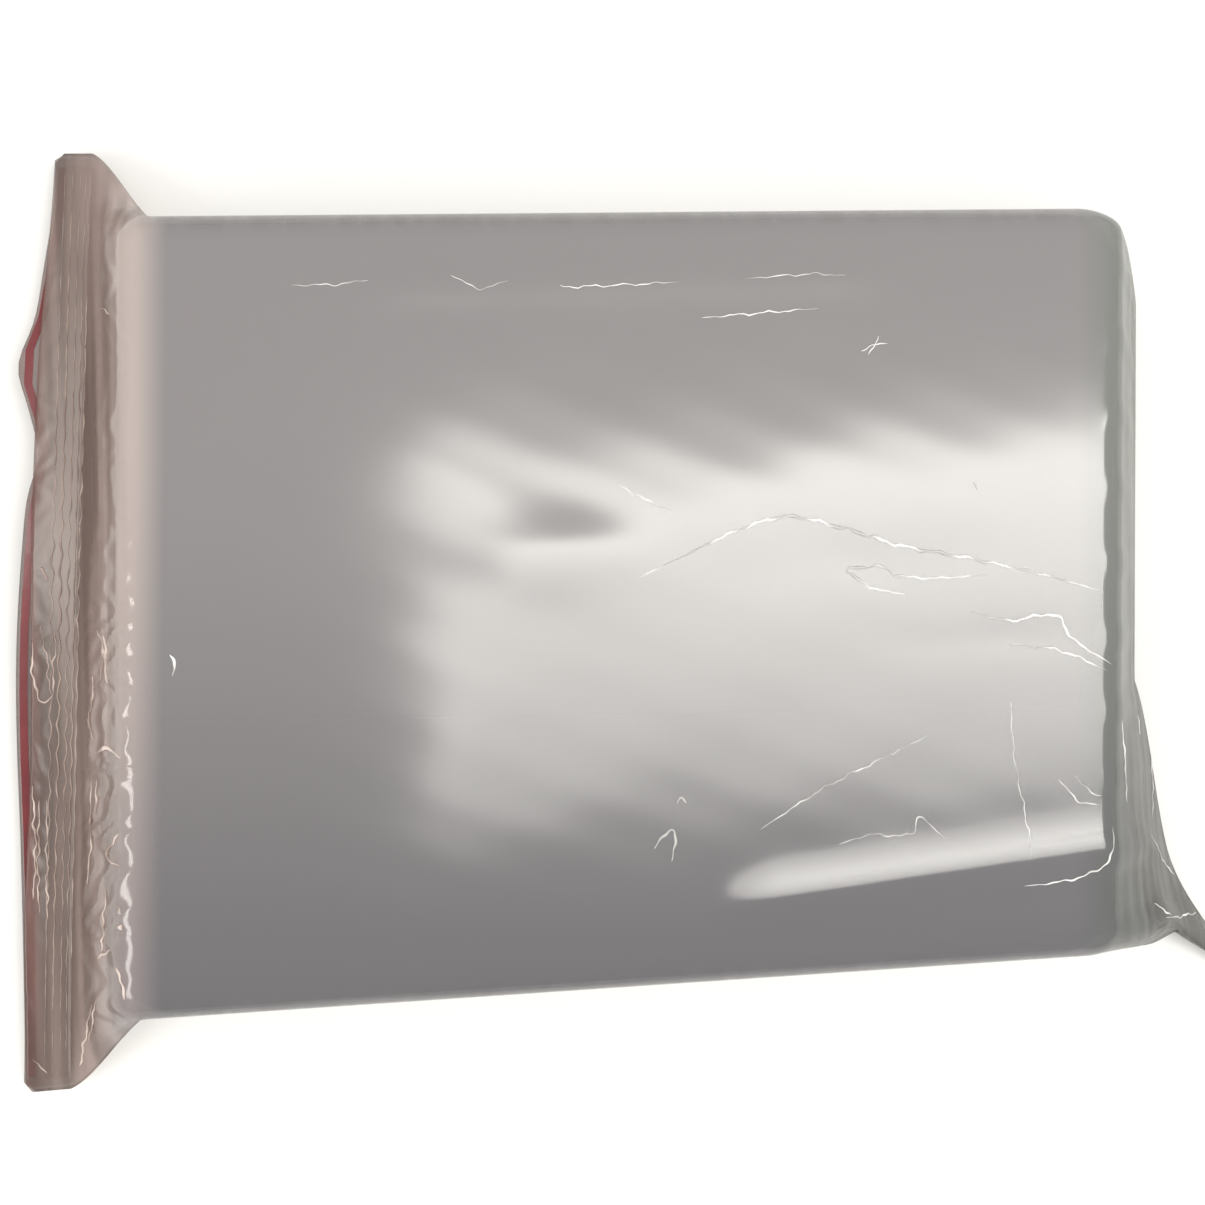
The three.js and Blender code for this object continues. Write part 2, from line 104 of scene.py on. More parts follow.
def top_swell(x, y):
    """Crown of the stack: an ellipse along times an ellipse across, with a soft hollow wave."""
    along = np.clip(1 - (2 * x / STACK_LENGTH) ** 2, 0, 1)
    across = np.clip(1 - (2 * y / STACK_WIDTH) ** 2, 0, 1)
    slump = STACK_SLUMP * wave(x, STACK_WIDTH, 1.0) * np.cos(5 * np.pi * y / (2 * STACK_WIDTH))
    return (STACK_CROWN + slump) * np.sqrt(along * across)


def set_mesh(name, points, faces, smooth=True):
    """A new object at the origin from points in mm and a list of faces as lists of indices."""
    mesh = bpy.data.meshes.new(name)
    mesh.from_pydata((points * MM).tolist(), [], faces)
    mesh.polygons.foreach_set("use_smooth", np.full(len(mesh.polygons), smooth))
    mesh.update()
    piece = bpy.data.objects.new(name, mesh)
    bpy.context.collection.objects.link(piece)
    return piece


def grid_faces(rows, columns, start=0, closed=False):
    """Quads of a grid of points stored row by row. A closed grid joins its last column to its first."""
    count = columns if closed else columns - 1
    row, column = np.meshgrid(np.arange(rows - 1), np.arange(count), indexing="ij")
    right = (column + 1) % columns
    a = start + row * columns + column
    b = start + row * columns + right
    return np.stack([a, b, b + columns, a + columns], axis=-1).reshape(-1, 4)


def linear(hex_colour):
    """The linear colour, with alpha 1, of an sRGB hex value."""
    parts = [int(hex_colour[i:i + 2], 16) / 255 for i in (1, 3, 5)]
    return [p / 12.92 if p <= 0.04045 else ((p + 0.055) / 1.055) ** 2.4 for p in parts] + [1.0]


def node(tree, kind, settings=None, inputs=None):
    """Adds a node. Settings are its properties; inputs are values, or sockets to link from."""
    made = tree.nodes.new(kind)
    for key, value in (settings or {}).items():
        setattr(made, key, value)
    for key, value in (inputs or {}).items():
        if isinstance(value, bpy.types.NodeSocket):
            tree.links.new(value, made.inputs[key])
        else:
            made.inputs[key].default_value = value
    return made


def new_material(name):
    """A material with an empty node tree and its output node."""
    material = bpy.data.materials.new(name)
    material.use_nodes = True
    material.node_tree.nodes.clear()
    output = node(material.node_tree, "ShaderNodeOutputMaterial")
    return material, material.node_tree, output


def remap(tree, value, source, target, shape="LINEAR"):
    """The value taken from the source pair to the target pair, and held at both ends."""
    return node(tree, "ShaderNodeMapRange", {"interpolation_type": shape}, {
        "Value": value, "From Min": source[0], "From Max": source[1],
        "To Min": target[0], "To Max": target[1],
    }).outputs[0]


def colour_ramp(tree, value, stops):
    """Colours blended along a value. Each stop is a position from 0 to 1 and an sRGB hex value."""
    ramp = node(tree, "ShaderNodeValToRGB", inputs={"Fac": value})
    elements = ramp.color_ramp.elements
    for position, colour in stops[1:-1]:
        elements.new(position).color = linear(colour)
    for element, (position, colour) in ((elements[0], stops[0]), (elements[len(elements) - 1], stops[-1])):
        element.position = position
        element.color = linear(colour)
    return ramp.outputs["Color"]


def multiply(tree, colour, multiplier, share=1.0):
    """A colour times another one, by a share from 0 to 1."""
    return node(tree, "ShaderNodeMix", {"data_type": "RGBA", "blend_type": "MULTIPLY"}, {
        0: share, 6: colour, 7: multiplier,
    }).outputs[2]


def noise(tree, coordinates, sizes, detail=0.0):
    """Soft noise from 0 to 1, with clouds of these sizes in mm along x, y and z."""
    space = node(tree, "ShaderNodeMapping", inputs={
        "Vector": coordinates, "Scale": [1 / (size * MM) for size in sizes],
    })
    return node(tree, "ShaderNodeTexNoise", inputs={
        "Vector": space.outputs[0], "Scale": 1.0, "Detail": detail,
    }).outputs["Fac"]


def metres(values):
    """Values in mm as metres, which the node trees work in."""
    return [value * MM for value in values]


def stack_outline(count):
    """Rounded rectangle seen from above, as places and outward directions at even steps round it."""
    half = np.array([STACK_LENGTH / 2 - STACK_CORNER, STACK_WIDTH / 2 - STACK_CORNER])
    arc = np.pi / 2 * STACK_CORNER
    sides = np.array([arc, 2 * half[0], arc, 2 * half[1]] * 2)
    ends = np.cumsum(sides)
    run = np.linspace(0, ends[-1], count, endpoint=False)
    part = np.searchsorted(ends, run, side="right")
    share = (run - (ends[part] - sides[part])) / sides[part]
    quarter = part // 2
    corner = part % 2 == 0
    turn = np.where(corner, quarter + share, quarter + 1) * np.pi / 2
    facing = np.stack([np.cos(turn), np.sin(turn)], axis=-1)
    signs = np.array([[1, 1], [-1, 1], [-1, -1], [1, -1]])
    near = signs[quarter] * half
    far = signs[(quarter + 1) % 4] * half
    centre = np.where(corner[:, None], near, near + (far - near) * share[:, None])
    return centre + STACK_CORNER * facing, facing


def edge_inset(height):
    """How far the side is drawn in near the top and bottom: a quarter circle."""
    reach = np.clip(STACK_EDGE - np.minimum(height, STACK_HEIGHT - height), 0, STACK_EDGE)
    return STACK_EDGE - np.sqrt(STACK_EDGE ** 2 - reach ** 2)


def make_stack():
    """Rings up the side, one above another, then rings over the crown to the middle."""
    outline, facing = stack_outline(OUTLINE_STEPS)
    random = np.random.default_rng(7)
    levels = np.linspace(0, STACK_HEIGHT, int(STACK_HEIGHT / LAYER_PITCH) * 2 + 1)
    level = np.arange(len(levels))
    layer = level // 2
    shift = LAYER_SHIFT * random.random(layer.max() + 1)[layer] + LAYER_NOTCH * (level % 2)
    turn = np.arange(OUTLINE_STEPS) * LAYER_TURN
    ripple = LAYER_RIPPLE * np.sin(turn + LAYER_LEAN * levels[:, None])
    inset = edge_inset(levels)[:, None] + shift[:, None] + ripple + SIDE_EASE
    flat = outline[None] - facing[None] * inset[..., None]
    rings = np.concatenate([flat, np.broadcast_to(levels[:, None, None], (*flat.shape[:2], 1))], axis=-1)
    shrink = np.linspace(CAP_START, 0.0, CAP_RINGS)[:, None, None]
    cap = rings[-1][None, :, :2] * shrink
    lift = top_swell(cap[..., 0], cap[..., 1])[..., None] + STACK_HEIGHT
    under = rings[0][None, :, :2] * shrink[::-1]
    floor = np.zeros((*under.shape[:2], 1))
    grid = np.concatenate([np.concatenate([under, floor], -1), rings, np.concatenate([cap, lift], -1)])
    grid[..., 2] += STACK_FLOOR
    grid[..., 0] += STACK_SKEW * grid[..., 1]
    rows, columns = grid.shape[:2]
    inner = grid[1:-1].reshape(-1, 3)
    points = np.concatenate([inner, grid[0, :1], grid[-1, :1]])
    quads = grid_faces(rows - 2, columns, closed=True)
    ring = np.arange(columns)
    following = (ring + 1) % columns
    last = (rows - 3) * columns
    bottom = np.stack([following, ring, np.full(columns, len(inner))], -1)
    top = np.stack([last + ring, last + following, np.full(columns, len(inner) + 1)], -1)
    return set_mesh("pressed_bags", points, quads.tolist() + bottom.tolist() + top.tolist())


def painted_shade_across(tree, coordinates):
    """Grey multiplier across the bag: painted shade that darkens it towards its -Y side."""
    across = node(tree, "ShaderNodeSeparateXYZ", inputs={0: coordinates}).outputs["Y"]
    share = remap(tree, across, metres(PAINTED_SHADE_ACROSS), (0.0, 1.0), "SMOOTHSTEP")
    return colour_ramp(tree, share, PAINTED_SHADE_TONES)


def pressed_film_material():
    """Many layers of clear polyethylene: milky grey with a silvery sheen and fine edge lines."""
    material, tree, output = new_material("pressed_polyethylene_film")
    coordinates = node(tree, "ShaderNodeTexCoord").outputs["Object"]
    height = node(tree, "ShaderNodeSeparateXYZ", inputs={0: coordinates}).outputs["Z"]
    cloudy = colour_ramp(tree, noise(tree, coordinates, PRESSED_CLOUD), PRESSED_TONES)
    # Painted shade: the stack's colour is darkened towards -Y.
    with_painted_shade = multiply(tree, cloudy, painted_shade_across(tree, coordinates))
    layers = noise(tree, coordinates, LAYER_CLOUD)
    on_side = remap(tree, height, metres(LAYERS_FADE), (1.0, 0.0))
    layered = multiply(tree, with_painted_shade, colour_ramp(tree, layers, LAYER_TONES), on_side)
    bump = node(tree, "ShaderNodeBump", inputs={"Height": layers, "Strength": 0.22, "Distance": 0.0004})
    shader = node(tree, "ShaderNodeBsdfPrincipled", inputs={
        "Base Color": layered, "Roughness": 0.24, "IOR": 1.51, "Normal": bump.outputs[0],
        "Coat Weight": 0.6, "Coat Roughness": 0.12, "Coat IOR": 1.5,
    })
    tree.links.new(shader.outputs[0], output.inputs["Surface"])
    return material


pressed_bags = make_stack()
pressed_bags.data.materials.append(pressed_film_material())
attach(pressed_bags, "root")
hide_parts("bag_stack")

# Front and rear film
# Two panels of clear low-density polyethylene film, 0.12 mm thick, welded down both sides. The film
# goes tight round the stack, flattens to the zip at the mouth, and is tucked down the closed end,
# where one corner stays loose and sticks out as an ear.

FILM_GAP = 0.7
GIRTH_EASE = 16.0
SLACK_RISE = 1.2
SLACK_SPREAD = 6.0
SLACK_FOLDS = (  # their two ends, as shares of half the stack's length and width, and their rise
    ((0.15, -0.8), (1.1, -0.69), 1.0),
    ((-0.64, 0.81), (0.54, 0.83), 0.25),
)
FILM_RIPPLES = (  # pitch, lean (mm along for each mm across), shift and rise
    (83.0, 0.5, 0.6, 0.035),
    (58.0, -1.3, 2.1, 0.02),
    (36.0, 2.2, 4.0, 0.01),
)
FILM_HOLLOWS = (  # place along and across, spread along and across, and depth, less than 0 for a hump
    (-22.0, 11.0, 20.0, 11.0, -0.66),
    (62.0, 8.0, 30.0, 7.0, 0.16),
    (100.0, -14.0, 24.0, 5.0, 0.2),
)
SEAM_BEAD = 0.6
SIDE_PLEAT = 0.6
SIDE_PITCH = 47.0
ZIP_REACH = 17.3
ZIP_SKEW = 0.059
ZIP_HEIGHT = 8.0
ZIP_DROOP = 3.5
LIP_HEIGHT = 10.0
LIP_TAPER = 1.7
LIP_SETBACK = 1.2
LIP_CORNER = 2.5
LIP_PART = 1.1
LIP_WAVE = 1.2
LIP_PITCH = 94.0
LIP_SWELLS = (  # reach, place and spread, as shares of the lips' height and half the mouth
    (0.38, 0.54, 0.075),
    (0.27, -0.12, 0.36),
    (-0.24, 0.35, 0.064),
    (-0.12, 0.9, 0.15),
)
FLARE_PLEAT = 1.1
FLARE_PITCH = 41.0
FLARE_CRUMPLE = 2.0
FLARE_CRESTS = 3.4  # crumpled folds between the zip and the stack
LIP_CRUMPLE = 0.5
LIP_CRESTS = 1.4  # crumpled folds between the zip and the edge of the lip
CRUMPLE_PLACE = -48.0
CRUMPLE_SPREAD = 50.0
CRUMPLE_WANDER = ((57.0, 0.9, 1.0), (23.0, 0.5, 3.0), (11.0, 0.25, 1.0))  # pitch, share of a fold, shift
MOUTH_SWAY = 0.5
MOUTH_TILT = 0.1  # radians
MOUTH_TWIST = 0.12  # radians more or less along it
SEAM_WELD = 3.0
ZIP_FLANGE = 6.4
ZIP_FACE_GAP = 0.7 + 0.3 + 0.3 + FILM_GAUGE  # half the throat, the flange, the seat and the film
TUCK_REACH = 14.0
TUCK_HEIGHT = 13.0
TUCK_CORNER = 24.0
TUCK_TURN = 0.986
TUCK_DRAW = 5.0
TUCK_PLEAT = 0.9
TUCK_PITCH = 0.17  # of half the bag's width
EAR_START = 0.28
EAR_REACH = 45.0
EAR_FULLNESS = 0.64  # how straight it runs out to its tip
EAR_SPREAD = 18.0
EAR_HEIGHT = 2.5
EAR_NOTCH = 6.5
EAR_NOTCH_PLACE = 0.58
EAR_NOTCH_SPREAD = 0.13
EAR_FOLD = 2.0
EAR_FOLD_PLACE = -0.88
EAR_FOLD_SPREAD = 0.06
EAR_PLEAT = 1.8
EAR_PITCH = 0.21

FILM_BEND = STACK_EDGE + FILM_GAP + FILM_GAUGE
BODY_HALF = STACK_WIDTH / 2 + FILM_GAP + FILM_GAUGE
BODY_HEIGHT = STACK_FLOOR + STACK_HEIGHT + FILM_GAP + FILM_GAUGE
WALL_FLAT = BODY_HEIGHT / 2 - FILM_BEND
BEND_ARC = np.pi / 2 * FILM_BEND
HALF_GIRTH = 2 * (WALL_FLAT + BEND_ARC + BODY_HALF - FILM_BEND)
MOUTH_HALF = (HALF_GIRTH + GIRTH_EASE) / 2
ZIP_X = -(STACK_LENGTH / 2 + ZIP_REACH)
BODY_END = STACK_LENGTH / 2 - STACK_EDGE


def bell(place, spread):
    """Bell curve: 1 at 0, and about a third at "spread" mm."""
    return np.exp(-((place / spread) ** 2))


def ease(value):
    """Smooth step from 0 to 1: 3t squared less 2t cubed."""
    t = np.clip(value, 0.0, 1.0)
    return t * t * (3 - 2 * t)


def mix(start, end, share):
    """The value a share of the way from start to end."""
    return start + (end - start) * share


def slack_fold(x, y):
    """Long soft folds of the slack film: a bell curve across each, faded out by a sine at its ends."""
    total = 0.0
    for start, end, rise in SLACK_FOLDS:
        (start_x, end_x), (start_y, end_y) = zip(start, end)
        share = np.clip((2 * x / STACK_LENGTH - start_x) / (end_x - start_x), 0, 1)
        faded = np.minimum(1, 2.5 * np.sin(np.pi * share))
        middle = mix(start_y, end_y, share) * STACK_WIDTH / 2
        total = total + SLACK_RISE * rise * faded * bell(y - middle, SLACK_SPREAD)
    return total


def film_swell(x, y):
    """Rise of the slack front film over the stack: the stack's swell, folds, ripples and hollows."""
    ripple = sum(rise * wave(x + lean * y, pitch, shift) for pitch, lean, shift, rise in FILM_RIPPLES)
    hollow = sum(depth * bell(x - at_x, along) * bell(y - at_y, across)
                 for at_x, at_y, along, across, depth in FILM_HOLLOWS)
    inside = np.clip(1 - (2 * x / STACK_LENGTH) ** 4, 0, 1) * np.clip(1 - (2 * y / STACK_WIDTH) ** 4, 0, 1)
    return top_swell(x, y) + slack_fold(x, y) + (ripple - hollow) * inside


def body_section(s):
    """Section round the stack at "s" mm along the film: up the wall, round a quarter circle, then level."""
    run = np.minimum(s, HALF_GIRTH - s)
    sign = np.where(s > HALF_GIRTH / 2, -1.0, 1.0)
    turn = np.clip((run - WALL_FLAT) / FILM_BEND, 0, np.pi / 2)
    beyond = np.maximum(0, run - WALL_FLAT - BEND_ARC)
    across = sign * (BODY_HALF - FILM_BEND * (1 - np.cos(turn)) - beyond)
    return across, np.minimum(run, WALL_FLAT) + FILM_BEND * np.sin(turn)


def mouth_point(y, outward, upward):
    """A place in the mouth's own frame, which is skewed, droops at its ends and sways a little."""
    across = y / MOUTH_HALF
    sway = MOUTH_SWAY * (wave(y, 2 * LIP_PITCH) + 0.7 * wave(y, LIP_PITCH, 1))
    tilt = MOUTH_TILT + MOUTH_TWIST * wave(y, 2.5 * LIP_PITCH, 0.6)
    x = ZIP_X + ZIP_SKEW * y - outward * np.cos(tilt) + upward * np.sin(tilt)
    z = ZIP_HEIGHT - ZIP_DROOP * across ** 2 + sway + outward * np.sin(tilt) + upward * np.cos(tilt)
    return x, y + 0 * x, z


def lip_edge(y, panel):
    """Reach of a lip past the zip. It curls in at its ends, and the back lip has two swells."""
    from_end = np.clip((MOUTH_HALF - np.abs(y)) / LIP_CORNER, 0, 1)
    rounded = LIP_CORNER * (1 - np.sqrt(1 - (1 - from_end) ** 2))
    curled = LIP_TAPER * (1 + 0.5 * y / MOUTH_HALF) * ease((np.abs(y) / MOUTH_HALF - 0.5) * 2)
    edge = LIP_HEIGHT - curled - rounded
    if panel > 0:
        return edge - LIP_SETBACK + 0.4 * wave(y, 1.4 * LIP_PITCH)
    swells = [reach * bell(y / MOUTH_HALF - place, spread) for reach, place, spread in LIP_SWELLS]
    return edge + LIP_HEIGHT * sum(swells)


def crumple(count, share, y, shift):
    """Sharp-crested folds that wander along the mouth: one less the size of a sine."""
    wander = sum(size * wave(y, pitch, turns * shift) for pitch, size, turns in CRUMPLE_WANDER)
    crest = 1 - np.abs(np.sin(np.pi * (count * share + wander)))
    return crest * (0.3 + 0.7 * bell(y - CRUMPLE_PLACE, CRUMPLE_SPREAD))


def mouth_gap(y, outward, panel):
    """How far the film stands off the zip's middle plane: pinched at the welds, parted at the lips."""
    weld = ease((MOUTH_HALF - np.abs(y)) / SEAM_WELD)
    past = np.clip((outward - ZIP_FLANGE / 2) / (LIP_HEIGHT - ZIP_FLANGE / 2), 0, 1)
    parted = mix(ZIP_FACE_GAP, FILM_GAUGE + LIP_PART, ease(past))
    puff = wave(y, LIP_PITCH, 0.4) if panel > 0 else wave(y, 1.27 * LIP_PITCH, 2)
    creased = past * (1 - past) * 4 * LIP_CRUMPLE * crumple(LIP_CRESTS, past, y, 2.2) if panel > 0 else 0
    return panel * mix(FILM_GAUGE + 0.1, parted + past * LIP_WAVE * np.maximum(0, puff) + creased, weld)


def mouth_rows(share, s, panel):
    """Rows of film from the zip's inner edge, at share 0, to the edge of the lip, at share 1."""
    y = MOUTH_HALF * (1 - 2 * s / HALF_GIRTH)
    outward = mix(-ZIP_FLANGE / 2, lip_edge(y, panel), share)
    pinched = (s <= 0) | (s >= HALF_GIRTH)
    return mouth_point(y + 0 * share, outward, np.where(pinched, 0, mouth_gap(y, outward, panel)))


def body_rows(x, s, panel):
    """Rows of film round the stack, with the bead of the weld and soft pleats on the sides."""
    across, rise = body_section(s)
    run = np.minimum(s, HALF_GIRTH - s)
    at_seam = np.maximum(0, 1 - run / WALL_FLAT)
    faded = np.sin(np.pi * np.clip(1.4 - at_seam, 0, 1))
    pleat = SIDE_PLEAT * wave(x, SIDE_PITCH, np.sign(across)) * faded
    spread = np.where(run < WALL_FLAT + BEND_ARC / 2, np.maximum(0, pleat), 0)
    bead = SEAM_BEAD * (at_seam > 0.9)
    swell = np.where(rise > WALL_FLAT, film_swell(x, across), 0) if panel > 0 else 0
    near_end = np.clip(1 - (BODY_END - x) / TUCK_CORNER, 0, 1)
    near_side = np.clip(1 - 1.5 * (BODY_HALF - across) / FILM_BEND, 0, 1)
    drawn_in = STACK_SKEW * across - TUCK_DRAW * (near_end * near_side) ** 2
    return x + drawn_in, across + np.sign(across) * (bead + spread), BODY_HEIGHT / 2 + panel * rise + swell


def drawn_over(out, down, bend, share):
    """Film drawn round a quarter bend and then straight on to a point beyond and below it."""
    safe = np.maximum(bend, 1e-6)
    far = np.hypot(out, down - safe)
    turn = np.maximum(0, np.arctan2(out, safe - down) - np.arccos(np.minimum(1, safe / far)))
    arc = safe * turn
    travelled = share * (arc + np.sqrt(np.maximum(0, far ** 2 - safe ** 2)))
    angle = np.minimum(turn, travelled / safe)
    straight = np.maximum(0, travelled - arc)
    curved_out = safe * np.sin(angle) + straight * np.cos(turn)
    curved_down = safe * (1 - np.cos(angle)) + straight * np.sin(turn)
    upright = (bend < 1e-6) | (down <= 0)
    return np.where(upright, out * share, curved_out), np.where(upright, down * share, curved_down)


def drawn_to(near, target, s, panel, share):
    """Film at a share of the way from the end of the level panel to target points."""
    _, rise = body_section(s)
    bend = FILM_BEND * np.clip((rise - WALL_FLAT) / FILM_BEND, 0, 1)
    sign = np.sign(target[0] - near[0])
    out, down = drawn_over(np.abs(target[0] - near[0]), panel * (near[2] - target[2]), bend, share)
    return near[0] + sign * out, near[2] - panel * down


def flare_rows(share, s, panel):
    """Rows from the stack, at share 0, to the zip: flattened, widened and gathered in fan pleats."""
    near = body_rows(-BODY_END + 0 * share, s, panel)
    target = mouth_rows(np.zeros_like(share), s, panel)
    x, z = drawn_to(near, target, s, panel, share)
    y = target[1]
    fan = wave(y, FLARE_PITCH) * np.sin(np.pi * share) * share
    pleat = FLARE_PLEAT * fan * (0.4 + np.abs(y) / MOUTH_HALF)
    creased = FLARE_CRUMPLE * crumple(FLARE_CRESTS, share, y, 0.5) * np.sin(np.pi * share)
    raised = pleat + creased * ease((MOUTH_HALF - np.abs(y)) / TUCK_CORNER)
    widened = (share + ease(share)) / 2
    return x, mix(near[1], y, widened), z + (raised if panel > 0 else 0)


def end_fold(across):
    """The fold that closes the bag, from the tucked corner at 1 to the tip of the ear at -1."""
    ear = np.clip((-EAR_START - across) / (1 - EAR_START), 0, 1)
    y = across * BODY_HALF
    turned = np.clip(y - BODY_HALF + TUCK_CORNER, 0, TUCK_TURN * TUCK_CORNER)
    drawn_back = TUCK_CORNER - np.sqrt(TUCK_CORNER ** 2 - turned ** 2)
    drawn_out = EAR_REACH * mix(ear ** 4, ear, EAR_FULLNESS)
    x = STACK_LENGTH / 2 + TUCK_REACH + STACK_SKEW * y + drawn_out - drawn_back
    return x, y - EAR_SPREAD * ease(2 * ear), mix(TUCK_HEIGHT, EAR_HEIGHT, ease(1.6 * ear))


def end_rows(share, s, panel):
    """Rows over the stack's end, at share 0, to the closing fold: tucked down, or drawn out at the ear."""
    near = body_rows(BODY_END + 0 * share, s, panel)
    across = 1 - 2 * s / HALF_GIRTH
    fold = end_fold(across)
    ear = np.clip((-EAR_START - across) / (1 - EAR_START), 0, 1)
    x, z = drawn_to(near, fold, s, panel, share)
    hump = np.sin(np.pi * share)
    notch = EAR_NOTCH * ear * ear * bell(share - EAR_NOTCH_PLACE, EAR_NOTCH_SPREAD) * np.sqrt(hump)
    tucked = TUCK_PLEAT * wave(across, TUCK_PITCH) * (1 - ear)
    pleats = (tucked + EAR_PLEAT * wave(across, EAR_PITCH, 1) * ear) * hump
    crease = EAR_FOLD * bell(across - EAR_FOLD_PLACE, EAR_FOLD_SPREAD) * hump * share
    inside = (s > 0) & (s < HALF_GIRTH)
    raised = np.where(inside, np.maximum(0, pleats) + crease, 0) if panel > 0 else 0
    return x, mix(near[1], fold[1], share ** mix(3, 2, ear)) + notch, z + raised


def panel_grid(panel, s, counts):
    """Grid of film points from the edge of the lip to the closing fold."""
    mouth, flare, body, end = counts
    s = s[None, :]
    parts = [
        mouth_rows(np.linspace(1, 0, mouth)[:-1, None], s, panel),
        flare_rows(np.linspace(1, 0, flare)[:-1, None], s, panel),
        body_rows(np.linspace(-BODY_END, BODY_END, body)[:-1, None], s, panel),
        end_rows(np.linspace(0, 1, end)[:, None], s, panel),
    ]
    return np.concatenate([np.stack(np.broadcast_arrays(*part), axis=-1) for part in parts])


def grid_normals(grid, panel):
    """Outward unit normals of a grid of film, from the differences along it and across it."""
    along = np.gradient(grid, axis=0)
    across = np.gradient(grid, axis=1)
    normal = np.cross(across, along) * panel
    return normal / np.maximum(np.linalg.norm(normal, axis=-1, keepdims=True), 1e-9)


def film_shell(name, outer, panel):
    """A closed wall of film: the outer grid, the same grid one gauge further in, and its four rims."""
    rows, columns = outer.shape[:2]
    inner = outer - FILM_GAUGE * grid_normals(outer, panel)
    points = np.concatenate([outer.reshape(-1, 3), inner.reshape(-1, 3)])
    count = rows * columns
    front = grid_faces(rows, columns)
    back = grid_faces(rows, columns, start=count)[:, ::-1]
    index = np.arange(count).reshape(rows, columns)
    rim = np.concatenate([index[0, :-1], index[:-1, -1], index[-1, :0:-1], index[:0:-1, 0]])
    after = np.roll(rim, -1)
    sides = np.stack([after, rim, rim + count, after + count], axis=-1)
    faces = np.concatenate([front, back, sides])
    if panel > 0:
        faces = faces[:, ::-1]
    return set_mesh(name, points, faces.tolist())


def film_steps(fine, coarse):
    """Steps along the film, from the +Y seam to the -Y seam: close on the walls and bends."""
    bend_end = WALL_FLAT + BEND_ARC
    side = np.concatenate([np.linspace(0, WALL_FLAT, coarse)[:-1], np.linspace(WALL_FLAT, bend_end, 13)])
    middle = np.linspace(bend_end, HALF_GIRTH - bend_end, fine)[1:-1]
    return np.concatenate([side, middle, HALF_GIRTH - side[::-1]])


# Painted light and shade among these bands: the dark lips at -168 and -159 mm have painted shade of their
# crumples over their warm brown tint, the pale bands at -136 and -128 mm are a painted highlight on the
# shoulder where the film bends down from the stack, and the darker grey at 127 and 134 mm is painted shade
# where the film rolls down over the closed end.
FILM_TONES_AND_PAINTED_LIGHT = (  # mm along, across which the tone changes, and its colour
    (-168.0, "#6d4d45"),
    (-159.0, "#765148"),
    (-155.5, "#8f7b73"),
    (-148.0, "#98857d"),
    (-146.0, "#aa958d"),
    (-139.0, "#b09c95"),
    (-136.0, "#cfbeb7"),
    (-128.0, "#c6b8b2"),
    (-121.0, "#949090"),
    (118.0, "#969393"),
    (127.0, "#898a86"),
    (134.0, "#82857e"),
    (148.0, "#999b92"),
    (188.0, "#b2b09f"),
)
STREAK_CLOUD = (3.03, 76.9, 16.7)
STREAK_TONES = ((0.36, "#c4beba"), (0.66, "#ffffff"))
STREAKS_FADE = (30.0, 39.5)  # heights between which the streaks fade out
PAINTED_SHADE_START = (-142.0, -130.0)  # places along, between which the painted shade of the stack sets in on the film
GLOSS_RISE = (8.0, 39.5)  # heights between which the film gets smoother
FILM_ROUGHNESS = (0.34, 0.13)
GATHER_START = (120.0, 131.0)  # distances from the middle, between which the film starts to gather
GATHERED_OPACITY = 0.54
TOP_START = (34.0, 39.0)  # heights between the side and the top, where layers press into one milky face
SIDE_OPACITY = 0.44
TOP_OPACITY = 0.64


def place_along(tree, coordinates):
    """Place along the bag in metres, set askew as the stack is."""
    return node(tree, "ShaderNodeVectorMath", {"operation": "DOT_PRODUCT"}, {
        0: coordinates, 1: (1.0, -STACK_SKEW, 0.0),
    }).outputs["Value"]


def film_tone_and_painted_light(tree, along):
    """Colour bands of the film by place along the bag, with painted highlight and painted shade among them.
    """
    low, high = FILM_TONES_AND_PAINTED_LIGHT[0][0], FILM_TONES_AND_PAINTED_LIGHT[-1][0]
    share = remap(tree, along, metres((low, high)), (0.0, 1.0))
    return colour_ramp(tree, share, [((place - low) / (high - low), colour) for place, colour in FILM_TONES_AND_PAINTED_LIGHT])


def clear_film_material():
    """Clear low-density polyethylene, blown: glossy, a little milky, denser where it is gathered."""
    material, tree, output = new_material("clear_polyethylene_film")
    coordinates = node(tree, "ShaderNodeTexCoord").outputs["Object"]
    along = place_along(tree, coordinates)
    height = node(tree, "ShaderNodeSeparateXYZ", inputs={0: coordinates}).outputs["Z"]
    streaks = colour_ramp(tree, noise(tree, coordinates, STREAK_CLOUD), STREAK_TONES)
    low_down = remap(tree, height, metres(STREAKS_FADE), (1.0, 0.0))
    streaked = multiply(tree, film_tone_and_painted_light(tree, along), streaks, low_down)
    # Over the stack the film gets the same painted shade towards -Y.
    on_stack = remap(tree, along, metres(PAINTED_SHADE_START), (0.0, 1.0))
    tone = multiply(tree, streaked, painted_shade_across(tree, coordinates), on_stack)
    roughness = remap(tree, height, metres(GLOSS_RISE), FILM_ROUGHNESS)
    from_middle = node(tree, "ShaderNodeMath", {"operation": "ABSOLUTE"}, {0: along})
    opacity = node(tree, "ShaderNodeMath", {"operation": "MAXIMUM"}, {
        0: remap(tree, from_middle.outputs[0], metres(GATHER_START), (0.0, GATHERED_OPACITY)),
        1: remap(tree, height, metres(TOP_START), (SIDE_OPACITY, TOP_OPACITY)),
    })
    shader = node(tree, "ShaderNodeBsdfPrincipled", inputs={
        "Base Color": tone, "Roughness": roughness, "Alpha": opacity.outputs[0],
        "IOR": 1.51, "Specular IOR Level": 0.9,
    })
    tree.links.new(shader.outputs[0], output.inputs["Surface"])
    return material


